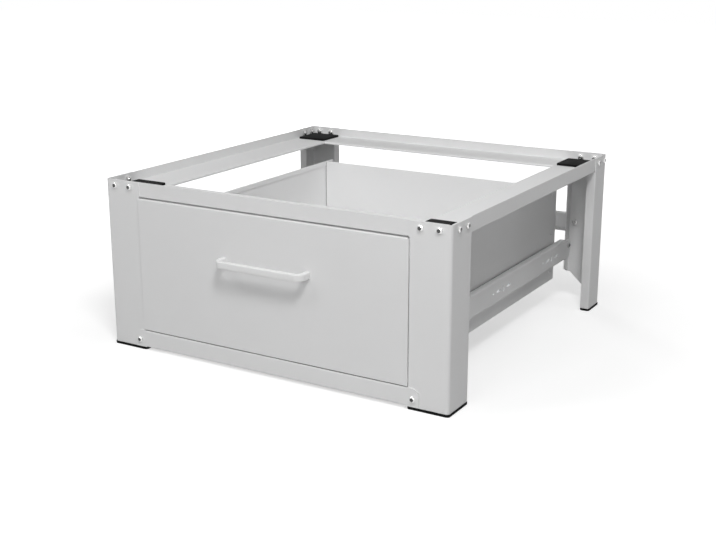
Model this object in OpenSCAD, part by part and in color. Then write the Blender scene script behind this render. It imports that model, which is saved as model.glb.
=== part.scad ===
// Washer pedestal: a frame of folded sheet with one pull-out drawer under it.
// Millimetres, +X right, +Y to the rear, +Z up. The origin is on the floor, in the middle of
// the whole outline from the handle's face to the rearmost bolt head.

/* [Frame] */
// Width over the outer faces of the legs
body_w = 710; // [590:5:860]
// Depth over the front and rear faces of the legs
body_d = 700; // [580:5:840]
// Height from the floor to the top edge of the frame
body_h = 320; // [265:5:390]
// Thickness of the frame's sheet
sheet_t = 2; // [1.6:0.1:2.4]
// Outer radius of the legs' main corner
corner_r = 6; // [4:0.5:8]
// Outer radius of all the other folds in the frame
fold_r = 3; // [2.6:0.1:4]

/* [Legs] */
// Width of a front leg's front flange
front_flange_w = 76.5; // [62:0.5:92]
// Depth of a front leg's side web
front_web_d = 71; // [64:1:86]
// Depth of a rear leg's side web
rear_web_d = 58; // [54:1:70]
// Width of the narrow lip on each leg's side web, and of a rear leg's foot
leg_lip_w = 18; // [15:1:22]
// Depth of the return lip that carries the runner rail
return_lip_d = 22; // [20:1:27]
// Height of the underside of a rear leg's flange, beside its return lip
flange_cut_z = 63; // [52:1:76]
// Height at which the sloping cut reaches a rear leg's foot
foot_cut_z = 20; // [16:1:24]
// Height of the slanted end of a rear leg's return lip, at its free edge
lip_cut_z = 72; // [64:1:88]

/* [Top frame] */
// Height of the top rails' outer wall
rim_h = 27.5; // [23:0.5:33]
// Depth of the ledge's top below the rim
seat_drop = 18; // [15:0.5:21]
// Height of the lip along the ledge's free edge
ledge_lip_h = 4.7; // [4:0.1:5.6]
// Width of the ledge past a pad
ledge_margin = 5; // [4:0.5:6]
// Open square left at each corner of the top frame, inside the legs' corners
corner_relief = 5; // [4:0.5:6]
// Open seam at each mitre
seam = 0.4; // [0.2:0.1:0.6]

/* [Pads and foot caps] */
// Side of a square rubber pad
pad_w = 66; // [55:1:80]
// Thickness of a rubber pad
pad_t = 4.2; // [3.5:0.1:4.4]
// Gap between a pad and the ends of the bolts beside it
pad_gap = 0.5; // [0.4:0.1:1.5]
// Corner radius of a pad
pad_corner_r = 3; // [2:0.5:5]
// Height of a foot cap under its leg
cap_t = 4.5; // [3.7:0.1:5.4]
// How far a foot cap stands out past its leg
cap_out = 1; // [0.5:0.1:1.2]
// Height of a foot cap's plug inside its leg
cap_plug_h = 8; // [6:0.5:9]
// Wall of a front foot cap's plug
cap_plug_t = 3; // [2.5:0.5:4]

/* [Cross members] */
// Height of the kick rail's face
kick_h = 33; // [28:1:39]
// Height of the kick rail's lower edge above the floor
kick_z = 5.5; // [5.5:0.5:6.5]
// How far the kick rail's ends lie over the front legs
kick_tab = 23; // [20:1:27]
// Radius of the kick rail's upper corners
kick_corner_r = 14; // [12:1:16]
// Height of the cross brace's face
brace_h = 38; // [32:1:45]
// Height of the cross brace's lower edge
brace_z = 152; // [130:1:180]
// How far the cross brace's ends lie over the rear legs
brace_tab = 24; // [20:1:28]
// Depth of the cross members' flanges
member_flange_d = 15; // [12:1:18]

/* [Runner rails] */
// Gap between a slide and a runner rail's flanges
slide_clear = 1.75; // [1:0.25:3]
// Height of a runner rail's lower edge
runner_z = 93; // [80:1:110]
// Width of a runner rail's flanges, with its sheet
runner_flange_w = 13; // [12:0.5:14]
// Distance from the legs' front faces to the first group of slots
slot_first = 122; // [110:1:146]
// Distance from one group of slots to the next
slot_pitch = 238; // [200:1:250]
// Length of a lying slot
slot_l = 17; // [14:1:18]
// Height of a lying slot
slot_h = 6; // [5:0.5:7]
// Height of an upright slot
upright_slot_h = 13; // [11:1:15]
// Distance between the slots of a group
slot_step = 22.5; // [20:0.5:26]

/* [Slides] */
// Space that a slide fills between a runner rail and the drawer
slide_space = 13; // [12.7:0.1:15]
// Height of a slide's outer member
slide_h = 35; // [29:0.5:42]
// Thickness of a slide's steel
slide_t = 1.2; // [1:0.1:1.4]
// Depth of a slide's outer member
slide_outer_d = 11; // [10.8:0.1:11.5]
// Depth of a slide's inner member, slim enough to pass the front legs
slide_inner_d = 5.8; // [5.6:0.1:6]
// Diameter of a bearing ball
ball_d = 4; // [3.4:0.1:4.2]
// Running gap on each side of a ball
race_gap = 0.3; // [0.25:0.05:0.4]
// Balls in one row
balls_per_row = 10; // [6:1:12]
// Distance from one ball to the next
ball_pitch = 20; // [16:1:22]
// Thickness of a ball cage
cage_t = 0.8; // [0.6:0.1:1]

/* [Drawer] */
// Thickness of the drawer box's sheet
box_t = 1.5; // [1.2:0.1:1.8]
// Gap between a drawer side and the front legs' inner edges
side_gap = 6.5; // [6.3:0.1:7.5]
// Height of the drawer box's underside above the drawer front's lower edge
box_rise = 16; // [14:1:19]
// Distance from the drawer box's top edge up to the top frame
box_drop = 35; // [29:1:42]
// Distance from the drawer's back wall to the legs' rear faces
back_setback = 79; // [66:1:95]
// How far the drawer sides run on behind the back wall
side_tail = 27; // [22:1:30]
// Height of the hem along the drawer box's top edges
hem_h = 10; // [8:1:12]
// Width of the flanges that join the drawer box's sheets
box_flange_w = 14; // [12:0.5:16]
// Thickness of the drawer front's sheet
front_t = 2; // [1.6:0.1:2.4]
// Gap between the drawer front and the front legs' faces
front_gap = 0.5; // [0.4:0.1:1]
// How far the drawer front laps over each front leg
front_lap = 1.25; // [1:0.25:2]
// Gap between the drawer front and the top frame
front_upper_gap = 2.5; // [1:0.1:3]
// Gap between the drawer front and the kick rail
front_lower_gap = 1.5; // [1:0.5:2]

/* [Handle] */
// Width of the handle over its ends
handle_w = 184; // [153:1:221]
// Reach of the handle from the drawer front
handle_reach = 28; // [24:1:34]
// Height of the handle's bar
handle_bar_h = 12.5; // [10.5:0.5:15]
// Thickness of the handle's bar
handle_bar_t = 9; // [7.5:0.5:10.5]
// Outer radius of the handle's two bends
handle_r = 17; // [14:1:20]
// Height of the handle's middle above the floor
handle_z = 201; // [170:1:235]

/* [Fasteners] */
// Thread diameter of the frame's bolts
bolt_d = 6; // [5:0.5:6]
// Width across flats of the bolts' heads and nuts
bolt_af = 10; // [8:0.5:10]
// Height of a bolt's head
bolt_head_h = 4; // [3.3:0.1:4.8]
// Thickness of a nut
bolt_nut_h = 5; // [4:0.5:5]
// Height of the top frame's bolts below the rim
top_bolt_drop = 10.5; // [10:0.5:11]
// Distance from a leg's side face to the nearer bolt in its front flange
front_bolt_inset = 22; // [20:1:26]
// Distance between the two bolts in a front flange
front_bolt_pitch = 33.5; // [28:0.5:38]
// Distance from a front leg's front face to the nearer bolt in its side web
web_bolt_inset = 23; // [20:1:26]
// Distance from a rear leg's rear face to the nearer bolt in its side web
rear_web_bolt_inset = 16; // [14:1:18]
// Distance between the other pairs of bolts
bolt_pitch = 30; // [25:1:34]
// Thread diameter of the small screws and studs
screw_d = 4; // [3.5:0.5:4]

/* [Hidden] */
$fn = 48;

paint = "#d6d7d8";
zinc = "#b9bcc0";
rubber = "#1b1b1c";

left = -1;
right = 1;
eps = 0.01;
cut = 1; // how far a cutting solid runs past the faces that it cuts
touch_gap = 0.3; // gap between sheets that are riveted together, and around a plug
cross_flange_gap = 2; // gap between a cross member's flanges and the legs
bolt_fit = 0.3; // radial clearance of a bolt in its hole
thread_fit = 0.1; // radial clearance of a thread in its nut
bolt_tail = 1.5; // thread that shows past a nut

// Places across the width, on the right-hand side
half_w = body_w / 2;
opening_x = half_w - front_flange_w;
box_x = opening_x - side_gap;
runner_x = box_x + slide_space;
pad_inset = 2 * sheet_t + bolt_nut_h + bolt_tail + pad_gap;
ledge_w = pad_inset - sheet_t + pad_w + ledge_margin;
pad_x = half_w - pad_inset - pad_w;
foot_x = half_w - leg_lip_w;
rear_flange_w = half_w - runner_x + sheet_t;

// Places along the depth
front_reach = front_gap + front_t + handle_reach;
rear_reach = sheet_t + bolt_head_h;
front_y = (front_reach - body_d - rear_reach) / 2;
rear_y = front_y + body_d;
panel_back_y = front_y - front_gap;
panel_y = panel_back_y - front_t;
back_y = rear_y - back_setback;

// Heights
rail_z = body_h - rim_h;
ledge_z = body_h - seat_drop;
leg_notch_z = rail_z - 0.5;
flange_cut_w = 7; // level part of the cut in a rear leg's flange
top_bolt_z = body_h - top_bolt_drop;
kick_top_z = kick_z + kick_h;
kick_bolt_rise = 14; // height of a kick rail's bolt above the rail's foot
kick_bolt_z = kick_z + kick_bolt_rise;
runner_h = slide_h + 2 * (slide_clear + sheet_t);
slide_z = runner_z + runner_h / 2;
brace_bolt_z = brace_z + brace_h / 2;
panel_z = kick_top_z + front_lower_gap;
panel_h = rail_z - front_upper_gap - panel_z;
box_z = panel_z + box_rise;
box_h = rail_z - box_drop - box_z;
floor_z = box_z + box_t;

// Runner rails: the front end steps inwards on to the front leg's return lip
step_l = 7.5; // length of the step along the rail
runner_front_y = front_y + sheet_t + fold_r;
runner_step_y = front_y + return_lip_d + 0.5;
runner_channel_y = runner_step_y + step_l + sheet_t;
runner_channel_end = rear_y - return_lip_d - 2;
runner_end_y = rear_y - sheet_t - fold_r / 2;
runner_bolt_inset = 12; // from the rear face to a runner rail's bolt
runner_bolt_rise = 29; // from a runner rail's foot to its bolt
runner_screw_inset = 13; // from the front face to a runner rail's screws
runner_screw_rise = 9; // of a screw above or below the slide's middle
runner_bolt_y = rear_y - runner_bolt_inset;
runner_bolt_z = runner_z + runner_bolt_rise;
runner_screw_y = front_y + runner_screw_inset;
runner_screw_z = [slide_z - runner_screw_rise, slide_z + runner_screw_rise];
runner_screw_grip = 2 * sheet_t;

// Slides: the longest length in steps of 50 that the runner rail holds
slide_len = 50 * floor((runner_channel_end - runner_channel_y) / 50);
drawer_travel = 0.75 * slide_len;
slide_y = runner_channel_y;
inner_setback = 10; // of the inner member's front end behind the front legs' faces
inner_y = front_y + inner_setback;
slide_outer_r = 2;
slide_inner_r = 1.8;
cage_r = 1.2;
inner_h = slide_h - 2 * (slide_t + ball_d + 2 * race_gap);
ball_row = slide_h / 2 - slide_t - race_gap - ball_d / 2;
ball_x = (runner_x - slide_outer_d + box_x + slide_inner_d) / 2;
cage_gap = 1.2; // gap between a cage and the inner member
cage_x = box_x + slide_inner_d + cage_gap;
cage_tip_gap = 1; // gap between a cage's flanges and the drawer side
cage_tip_x = box_x + cage_tip_gap;
cage_l = balls_per_row * ball_pitch;
cage_y = slide_y + drawer_travel / 2 + 3;
stop_gap = 0.5;
stop_l = 16;
stop_h = 16;
slide_rivet_inset = 40; // from a slide's end to its first rivet

// Small fasteners
rivet_d = 4;
rivet_head_d = 8;
rivet_head_h = 1.2;
rivet_tail_d = 5.5;
rivet_tail_h = 0.8;
screw_af = 7;
screw_nut_h = 3.2;
screw_head_d = 8;
pan_head_d = 6.5; // diameter at the top of a handle screw's head
pan_head_h = 2.4;
stud_l = 9;
stud_pitch = 150;
handle_screw_l = 12;
handle_hole_fit = 0.15;
hole_end_gap = 1; // depth of a blind hole past its screw
bolt_point_h = 1;
bolt_point_d = bolt_d - 1.4;
hexagon_flat = 0.95; // the round on top of a hexagon, as a share of its width
hexagon_slope = 1.6; // how fast the trimming cone widens downwards
handle_screw_x = handle_w / 2 - handle_bar_t / 2;

kick_bolt_x = opening_x + kick_tab / 2;
brace_bolt_x = runner_x + 12;

// Drawer box
box_fold_r = 2.5;
hem_r = box_t + 0.1;
flange_hole_shift = 1; // distance of a hole from its flange's middle, away from the fold
panel_flange_gap = 2.5; // gap between the drawer front's flanges and the legs
side_lip_w = 4.5; // lip under the bottom's edge
bracket_gap = 1; // gap above and below a front bracket
narrow_flange_w = 9; // flange of a bracket or an angle that runs into the drawer
notch_gap = 1; // level edge between a notch and the fold beside it
inner_half_w = box_x - box_t - touch_gap;
bottom_half_w = box_x - hem_r - touch_gap;
flange_rear_y = back_y - box_t + box_flange_w;
joint_z = floor_z + box_t + touch_gap;
bracket_z = joint_z + box_flange_w + bracket_gap;
bracket_top_z = box_z + box_h - hem_h - bracket_gap;
back_rivet_y = flange_rear_y - box_flange_w / 2 + flange_hole_shift;
back_rivet_end = 20; // from a drawer side's top or foot to its first rivet
back_rivet_z = [box_z + back_rivet_end, box_z + box_h / 2, box_z + box_h - back_rivet_end];
bracket_rivet_y = panel_back_y + (box_fold_r + narrow_flange_w) / 2;
bracket_rivet_end = 8; // from a bracket's end to its rivet
bracket_rivet_z = [bracket_z + bracket_rivet_end, bracket_top_z - bracket_rivet_end];
bottom_stud_x = [-stud_pitch, 0, stud_pitch];
bottom_stud_z = joint_z + box_flange_w / 2 + flange_hole_shift;
floor_rivet_x = [-1.5 * stud_pitch, -0.5 * stud_pitch, 0.5 * stud_pitch, 1.5 * stud_pitch];
side_stud_end = 35; // from a drawer side's top or foot to its first stud
side_stud_z = [box_z + side_stud_end, box_z + box_h / 2, box_z + box_h - side_stud_end];
side_stud_x = inner_half_w - box_t - box_flange_w / 2 + flange_hole_shift;

// ---- Helpers ----

// Draws its children as they are on the right-hand side, or mirrored on the left
module handed(side) mirror([side == left ? 1 : 0, 0, 0]) children();

// Quarter ring of sheet in the lower right quadrant, its centre at the origin
module bend(r, t) {
    intersection() {
        difference() {
            circle(r);
            circle(r - t);
        }
        translate([0, -r]) square(r);
    }
}

// Section of a strip that starts along +X and folds to the left after each outer length
module folded(lengths, radii, t, i = 0) {
    last = len(lengths) - 1;
    start = i == 0 ? 0 : radii[i - 1];
    stop = lengths[i] - (i == last ? 0 : radii[i]);
    if (stop - start > eps) translate([start, 0]) square([stop - start, t]);
    if (i < last) {
        translate([lengths[i] - radii[i], radii[i]]) bend(radii[i], t);
        translate([lengths[i], 0]) rotate(90) folded(lengths, radii, t, i + 1);
    }
}

// Rectangle with rounded corners, its lower left corner at the origin
module rounded_rect(w, d, r) {
    translate([r, 0]) square([w - 2 * r, d]);
    translate([0, r]) square([w, d - 2 * r]);
    for (x = [r, w - r], y = [r, d - r]) translate([x, y]) circle(r);
}

// Extrudes a section drawn in X and Z along +Y, from y0 to y1
module along_y(y0, y1) translate([0, y1, 0]) rotate([90, 0, 0]) linear_extrude(y1 - y0) children();

// Extrudes a section drawn in Y and Z along +X, from x0 to x1
module along_x(x0, x1) {
    translate([x0, 0, 0]) rotate([90, 0, 90]) linear_extrude(x1 - x0) children();
}

// Turns a fastener drawn along +Z so that it points along +X, +Y or -Y, at a place
module point_x(p) translate(p) rotate([0, 90, 0]) children();
module point_y(p) translate(p) rotate([-90, 0, 0]) children();
module point_back(p) translate(p) rotate([90, 0, 0]) children();

// Slot with round ends in the X and Y plane, its middle at the origin
module slot(l, w) {
    square([l - w, w], center = true);
    for (x = [-1, 1]) translate([x * (l - w) / 2, 0]) circle(d = w);
}

// ---- Fasteners, along +Z, with the head's seat at z = 0 ----

// Hexagon with its corner edges trimmed by a cone at the top
module hexagon(af, h) {
    intersection() {
        cylinder(h = h, d = af / cos(30), $fn = 6);
        cylinder(h = h, r1 = af * hexagon_flat / 2 + h * hexagon_slope, r2 = af * hexagon_flat / 2);
    }
}

module hex_bolt(grip) {
    rotate([180, 0, 0]) hexagon(bolt_af, bolt_head_h);
    shank_l = grip + bolt_nut_h + bolt_tail - bolt_point_h;
    cylinder(h = shank_l, d = bolt_d);
    translate([0, 0, shank_l]) cylinder(h = bolt_point_h, d1 = bolt_d, d2 = bolt_point_d);
}

module hex_nut(af, h, d) {
    difference() {
        hexagon(af, h);
        translate([0, 0, -cut]) cylinder(h = h + 2 * cut, d = d + 2 * thread_fit);
    }
}

module rivet(grip) {
    rotate([180, 0, 0]) cylinder(h = rivet_head_h, d1 = rivet_head_d, d2 = rivet_d);
    cylinder(h = grip, d = rivet_d);
    translate([0, 0, grip]) cylinder(h = rivet_tail_h, d1 = rivet_tail_d, d2 = rivet_d);
}

// Clearance hole through sheets of a total thickness
module hole(grip, d) translate([0, 0, -cut]) cylinder(h = grip + 2 * cut, d = d);
module bolt_hole() hole(2 * sheet_t, bolt_d + 2 * bolt_fit);
module rivet_hole(grip) hole(grip, rivet_d + 2 * thread_fit);
module screw_hole(grip) hole(grip, screw_d + 2 * bolt_fit);

// ---- Places of the frame's fasteners, on the right-hand side ----

// Each puts its child at a place, pointing into the frame
module at_front_flange_bolts() {
    for (i = [0, 1]) {
        point_y([half_w - front_bolt_inset - i * front_bolt_pitch, front_y, top_bolt_z]) children();
    }
}
module at_front_web_bolts() {
    for (i = [0, 1]) {
        translate([half_w, front_y + web_bolt_inset + i * bolt_pitch, top_bolt_z])
            rotate([0, -90, 0]) children();
    }
}
module at_rear_flange_bolts() {
    for (i = [0, 1]) {
        point_back([half_w - front_bolt_inset - i * bolt_pitch, rear_y, top_bolt_z]) children();
    }
}
module at_rear_web_bolts() {
    for (i = [0, 1]) {
        translate([half_w, rear_y - rear_web_bolt_inset - i * bolt_pitch, top_bolt_z])
            rotate([0, -90, 0]) children();
    }
}
module at_kick_bolt() point_y([kick_bolt_x, front_y - sheet_t, kick_bolt_z]) children();
module at_brace_bolt() point_back([brace_bolt_x, rear_y + sheet_t, brace_bolt_z]) children();
module at_runner_bolt() {
    translate([runner_x + sheet_t, runner_bolt_y, runner_bolt_z]) rotate([0, -90, 0]) children();
}
module at_runner_screws() {
    for (z = runner_screw_z) point_x([opening_x, runner_screw_y, z]) children();
}
module at_slots() {
    for (y = [front_y + slot_first : slot_pitch : slide_y + slide_len - slot_step]) {
        translate([0, y, slide_z]) children();
    }
}
module at_slide_rail_rivets() {
    for (y = [front_y + slot_first : slot_pitch : slide_y + slide_len]) {
        point_x([runner_x - slide_t, y - 2 * slot_step, slide_z]) children();
    }
}
module at_slide_drawer_rivets() {
    for (y = [inner_y + slide_rivet_inset : slide_len / 3 - slide_rivet_inset : inner_y + slide_len]) {
        point_x([box_x - box_t, y, slide_z]) children();
    }
}

// ---- Frame ----

module front_leg() {
    color(paint) difference() {
        union() {
            translate([opening_x, front_y + return_lip_d, cap_t]) linear_extrude(leg_notch_z - cap_t)
                rotate(-90) folded([return_lip_d, front_flange_w, front_web_d, leg_lip_w],
                                   [fold_r, corner_r, fold_r], sheet_t);
            translate([opening_x, front_y, leg_notch_z]) linear_extrude(body_h - leg_notch_z)
                folded([front_flange_w, front_web_d], [corner_r], sheet_t);
        }
        at_front_flange_bolts() bolt_hole();
        at_front_web_bolts() bolt_hole();
        at_kick_bolt() bolt_hole();
        at_runner_screws() countersink();
    }
}

// Countersunk hole in a return lip
module countersink() {
    translate([0, 0, -eps]) cylinder(h = sheet_t + 2 * eps,
        d1 = screw_head_d + 2 * thread_fit, d2 = screw_head_d - 2 * sheet_t + 2 * thread_fit);
    screw_hole(sheet_t);
}

module rear_leg() {
    color(paint) difference() {
        union() {
            translate([foot_x, rear_y - rear_web_d, cap_t]) linear_extrude(leg_notch_z - cap_t)
                folded([leg_lip_w, rear_web_d, rear_flange_w, return_lip_d],
                       [fold_r, corner_r, fold_r], sheet_t);
            translate([half_w, rear_y - rear_web_d, leg_notch_z]) linear_extrude(body_h - leg_notch_z)
                rotate(90) folded([rear_web_d, rear_flange_w], [corner_r], sheet_t);
        }
        rear_flange_cut();
        return_lip_cut();
        at_rear_flange_bolts() bolt_hole();
        at_rear_web_bolts() bolt_hole();
        at_brace_bolt() bolt_hole();
        at_runner_bolt() bolt_hole();
    }
}

// Sloping cut that narrows a rear leg's flange down to its foot
module rear_flange_cut() {
    inner_x = half_w - rear_flange_w;
    along_y(rear_y - return_lip_d - cut, rear_y + cut) polygon([
        [inner_x - cut, 0], [inner_x - cut, flange_cut_z], [inner_x + flange_cut_w, flange_cut_z],
        [foot_x, foot_cut_z], [foot_x, 0]
    ]);
}

// Slanted lower end of a rear leg's return lip
module return_lip_cut() {
    inner_x = half_w - rear_flange_w;
    along_x(inner_x - cut, inner_x + sheet_t + eps) polygon([
        [rear_y - return_lip_d - cut, 0], [rear_y - return_lip_d - cut, lip_cut_z],
        [rear_y - return_lip_d, lip_cut_z], [rear_y - fold_r, flange_cut_z], [rear_y - fold_r, 0]
    ]);
}

module front_left_leg() handed(left) front_leg();
module front_right_leg() handed(right) front_leg();
module rear_left_leg() handed(left) rear_leg();
module rear_right_leg() handed(right) rear_leg();

// Section of a top rail, its free edge on x = 0: a lip, the ledge, and the outer wall, whose foot is
// folded back on itself up to the ledge
module rail_section() {
    seat_h = ledge_z - rail_z;
    translate([0, seat_h - ledge_lip_h]) mirror([1, -1])
        folded([ledge_lip_h, ledge_w - sheet_t], [fold_r], sheet_t);
    translate([ledge_w - sheet_t, sheet_t]) {
        circle(sheet_t);
        square([sheet_t, rim_h - sheet_t]);
        translate([-sheet_t, 0]) square([sheet_t, seat_h - sheet_t]);
    }
}

// Top rail along +X, with its rim's outer face on y = 0 and its ledge towards +Y
module cross_rail(rim_w) {
    end_x = rim_w / 2 - corner_relief;
    inner_x = rim_w / 2 - ledge_w;
    intersection() {
        mirror([0, 1, 0]) translate([0, -ledge_w, rail_z]) along_x(-end_x, end_x) rail_section();
        translate([0, 0, rail_z - cut]) linear_extrude(rim_h + 2 * cut) polygon([
            [-end_x, 0], [end_x, 0], [end_x, corner_relief - seam], [inner_x - seam, ledge_w],
            [seam - inner_x, ledge_w], [-end_x, corner_relief - seam]
        ]);
    }
}

module front_top_rail() {
    color(paint) difference() {
        translate([0, front_y + sheet_t, 0]) cross_rail(body_w - 2 * sheet_t);
        for (side = [left, right]) handed(side) at_front_flange_bolts() bolt_hole();
    }
}

module rear_top_rail() {
    color(paint) difference() {
        translate([0, rear_y - sheet_t, 0]) mirror([0, 1, 0]) cross_rail(body_w - 2 * sheet_t);
        for (side = [left, right]) handed(side) at_rear_flange_bolts() bolt_hole();
    }
}

module side_top_rail() {
    color(paint) difference() {
        translate([half_w - sheet_t, (front_y + rear_y) / 2, 0]) rotate(90)
            cross_rail(body_d - 2 * sheet_t);
        at_front_web_bolts() bolt_hole();
        at_rear_web_bolts() bolt_hole();
    }
}

module left_top_rail() handed(left) side_top_rail();
module right_top_rail() handed(right) side_top_rail();

// Channel along +X with its face on y = 0 and its flanges towards +Y, and a flat tab at each end
module cross_member(inner_w, tab_w, h, tab_r) {
    flange_x = inner_w / 2 - cross_flange_gap;
    tab_x = inner_w / 2 + tab_w;
    translate([0, member_flange_d, h]) along_x(-flange_x, flange_x)
        rotate(180) folded([member_flange_d, h, member_flange_d], [fold_r, fold_r], sheet_t);
    for (side = [left, right]) handed(side) along_y(0, sheet_t) {
        translate([flange_x, 0]) square([tab_x - flange_x, h - tab_r]);
        translate([flange_x, 0]) square([tab_x - flange_x - tab_r, h]);
        translate([tab_x - tab_r, h - tab_r]) circle(tab_r);
    }
}

module front_kick_rail() {
    color(paint) difference() {
        translate([0, front_y - sheet_t, kick_z])
            cross_member(2 * opening_x, kick_tab, kick_h, kick_corner_r);
        for (side = [left, right]) handed(side) at_kick_bolt() bolt_hole();
    }
}

module rear_cross_brace() {
    color(paint) difference() {
        translate([0, rear_y + sheet_t, brace_z]) mirror([0, 1, 0])
            cross_member(2 * (runner_x - sheet_t), brace_tab, brace_h, fold_r);
        for (side = [left, right]) handed(side) at_brace_bolt() bolt_hole();
    }
}

module runner_rail() {
    step_x = opening_x + sheet_t;
    color(paint) difference() {
        union() {
            translate([runner_x + sheet_t - runner_flange_w, 0, runner_z])
                along_y(runner_channel_y, runner_channel_end)
                folded([runner_flange_w, runner_h, runner_flange_w], [fold_r, fold_r], sheet_t);
            translate([runner_x, 0, runner_z + fold_r]) along_y(runner_channel_end, runner_end_y)
                square([sheet_t, runner_h - 2 * fold_r]);
            translate([0, 0, runner_z + fold_r]) linear_extrude(runner_h - 2 * fold_r) polygon([
                [step_x, runner_front_y], [step_x + sheet_t, runner_front_y],
                [step_x + sheet_t, runner_step_y], [runner_x + sheet_t, runner_step_y + step_l],
                [runner_x + sheet_t, runner_channel_y], [runner_x, runner_channel_y],
                [runner_x, runner_step_y + step_l + 1], [step_x, runner_step_y + 1]
            ]);
        }
        at_runner_bolt() bolt_hole();
        at_runner_screws() screw_hole(runner_screw_grip);
        at_slide_rail_rivets() rivet_hole(slide_t + sheet_t);
        at_slots() slot_group();
    }
}

// Two lying slots with an upright one between them, through a runner rail
module slot_group() {
    for (i = [-1, 0, 1]) {
        translate([runner_x - cut, i * slot_step, 0]) rotate([90, 0, 90])
            linear_extrude(sheet_t + 2 * cut)
            rotate(i == 0 ? 90 : 0) slot(i == 0 ? upright_slot_h : slot_l, i == 0 ? slot_h - 1 : slot_h);
    }
}

module left_runner_rail() handed(left) runner_rail();
module right_runner_rail() handed(right) runner_rail();

// ---- Foot caps and pads ----

module front_foot_cap() {
    inside_x = opening_x + sheet_t + touch_gap;
    inside_w = half_w - sheet_t - touch_gap - inside_x;
    inside_d = front_web_d - 2 * (sheet_t + touch_gap);
    color(rubber) {
        translate([opening_x - cap_out, front_y - cap_out, 0]) linear_extrude(cap_t)
            rounded_rect(front_flange_w + 2 * cap_out, front_web_d + 2 * cap_out, corner_r);
        translate([inside_x, front_y + sheet_t + touch_gap, 0])
            linear_extrude(cap_t + cap_plug_h) difference() {
                rounded_rect(inside_w, inside_d, corner_r);
                translate([cap_plug_t, cap_plug_t])
                    rounded_rect(inside_w - 2 * cap_plug_t, inside_d - 2 * cap_plug_t, corner_r - 1);
            }
    }
}

module rear_foot_cap() {
    color(rubber) {
        translate([foot_x - cap_out, rear_y - rear_web_d - cap_out, 0]) linear_extrude(cap_t)
            rounded_rect(leg_lip_w + 2 * cap_out, rear_web_d + 2 * cap_out, corner_r);
        translate([foot_x, rear_y - rear_web_d + sheet_t + touch_gap, 0])
            linear_extrude(cap_t + cap_plug_h)
            rounded_rect(leg_lip_w - sheet_t - touch_gap,
                         rear_web_d - 2 * (sheet_t + touch_gap), corner_r - sheet_t + 1);
    }
}

module front_left_foot_cap() handed(left) front_foot_cap();
module front_right_foot_cap() handed(right) front_foot_cap();
module rear_left_foot_cap() handed(left) rear_foot_cap();
module rear_right_foot_cap() handed(right) rear_foot_cap();

module pad(y) {
    color(rubber) translate([pad_x, y, ledge_z]) linear_extrude(pad_t)
        rounded_rect(pad_w, pad_w, pad_corner_r);
}

module front_left_pad() handed(left) pad(front_y + pad_inset);
module front_right_pad() handed(right) pad(front_y + pad_inset);
module rear_left_pad() handed(left) pad(rear_y - pad_inset - pad_w);
module rear_right_pad() handed(right) pad(rear_y - pad_inset - pad_w);

// ---- Frame fasteners ----

// Puts its child at every bolt of the top frame
module at_top_frame_bolts() {
    for (side = [left, right]) handed(side) {
        at_front_flange_bolts() children();
        at_front_web_bolts() children();
        at_rear_flange_bolts() children();
        at_rear_web_bolts() children();
    }
}

// Nut on the far side of two sheets
module frame_nut() translate([0, 0, 2 * sheet_t]) hex_nut(bolt_af, bolt_nut_h, bolt_d);

module top_frame_bolts() color(zinc) at_top_frame_bolts() hex_bolt(2 * sheet_t);
module top_frame_nuts() color(zinc) at_top_frame_bolts() frame_nut();

module kick_rail_bolts() {
    color(zinc) for (side = [left, right]) handed(side) at_kick_bolt() hex_bolt(2 * sheet_t);
}
module kick_rail_nuts() {
    color(zinc) for (side = [left, right]) handed(side) at_kick_bolt() frame_nut();
}
module cross_brace_bolts() {
    color(zinc) for (side = [left, right]) handed(side) at_brace_bolt() hex_bolt(2 * sheet_t);
}
module cross_brace_nuts() {
    color(zinc) for (side = [left, right]) handed(side) at_brace_bolt() frame_nut();
}
module runner_rail_bolts() {
    color(zinc) for (side = [left, right]) handed(side) at_runner_bolt() hex_bolt(2 * sheet_t);
}
module runner_rail_nuts() {
    color(zinc) for (side = [left, right]) handed(side) at_runner_bolt() frame_nut();
}

// Flat-head screw, flush in the return lip so that the slide's inner member passes it
module runner_front_screw() {
    cylinder(h = sheet_t, d1 = screw_head_d, d2 = screw_head_d - 2 * sheet_t);
    cylinder(h = runner_screw_grip + screw_nut_h + 1, d = screw_d);
}
module runner_front_screws() {
    color(zinc) for (side = [left, right]) handed(side) at_runner_screws() runner_front_screw();
}
module runner_front_nuts() {
    color(zinc) for (side = [left, right]) handed(side) at_runner_screws()
        translate([0, 0, runner_screw_grip]) hex_nut(screw_af, screw_nut_h, screw_d);
}

// ---- Slides ----

module slide_outer_member() {
    color(zinc) difference() {
        translate([runner_x - slide_outer_d, 0, slide_z - slide_h / 2])
            along_y(slide_y, slide_y + slide_len)
            folded([slide_outer_d, slide_h, slide_outer_d], [slide_outer_r, slide_outer_r], slide_t);
        at_slide_rail_rivets() rivet_hole(slide_t + sheet_t);
    }
}
module left_slide_outer_member() handed(left) slide_outer_member();
module right_slide_outer_member() handed(right) slide_outer_member();

// Rivet with a flush tail, its head inside the outer member
module slide_rail_rivets() {
    color(zinc) for (side = [left, right]) handed(side) at_slide_rail_rivets() {
        rotate([180, 0, 0]) cylinder(h = rivet_head_h, d1 = rivet_head_d, d2 = rivet_d);
        cylinder(h = slide_t + sheet_t, d = rivet_d);
    }
}

// Rubber block that the inner member meets when the drawer is shut
module slide_stop() {
    x0 = box_x + slide_inner_d;
    color(rubber) translate([x0, inner_y + slide_len + stop_gap, slide_z - stop_h / 2])
        cube([runner_x - slide_t - x0, stop_l, stop_h]);
}
module left_slide_stop() handed(left) slide_stop();
module right_slide_stop() handed(right) slide_stop();

// Puts its child at the balls of one slide
module at_balls() {
    for (i = [0 : balls_per_row - 1], row = [-1, 1]) {
        translate([ball_x, cage_y + (i + 0.5) * ball_pitch, slide_z + row * ball_row]) children();
    }
}

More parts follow.
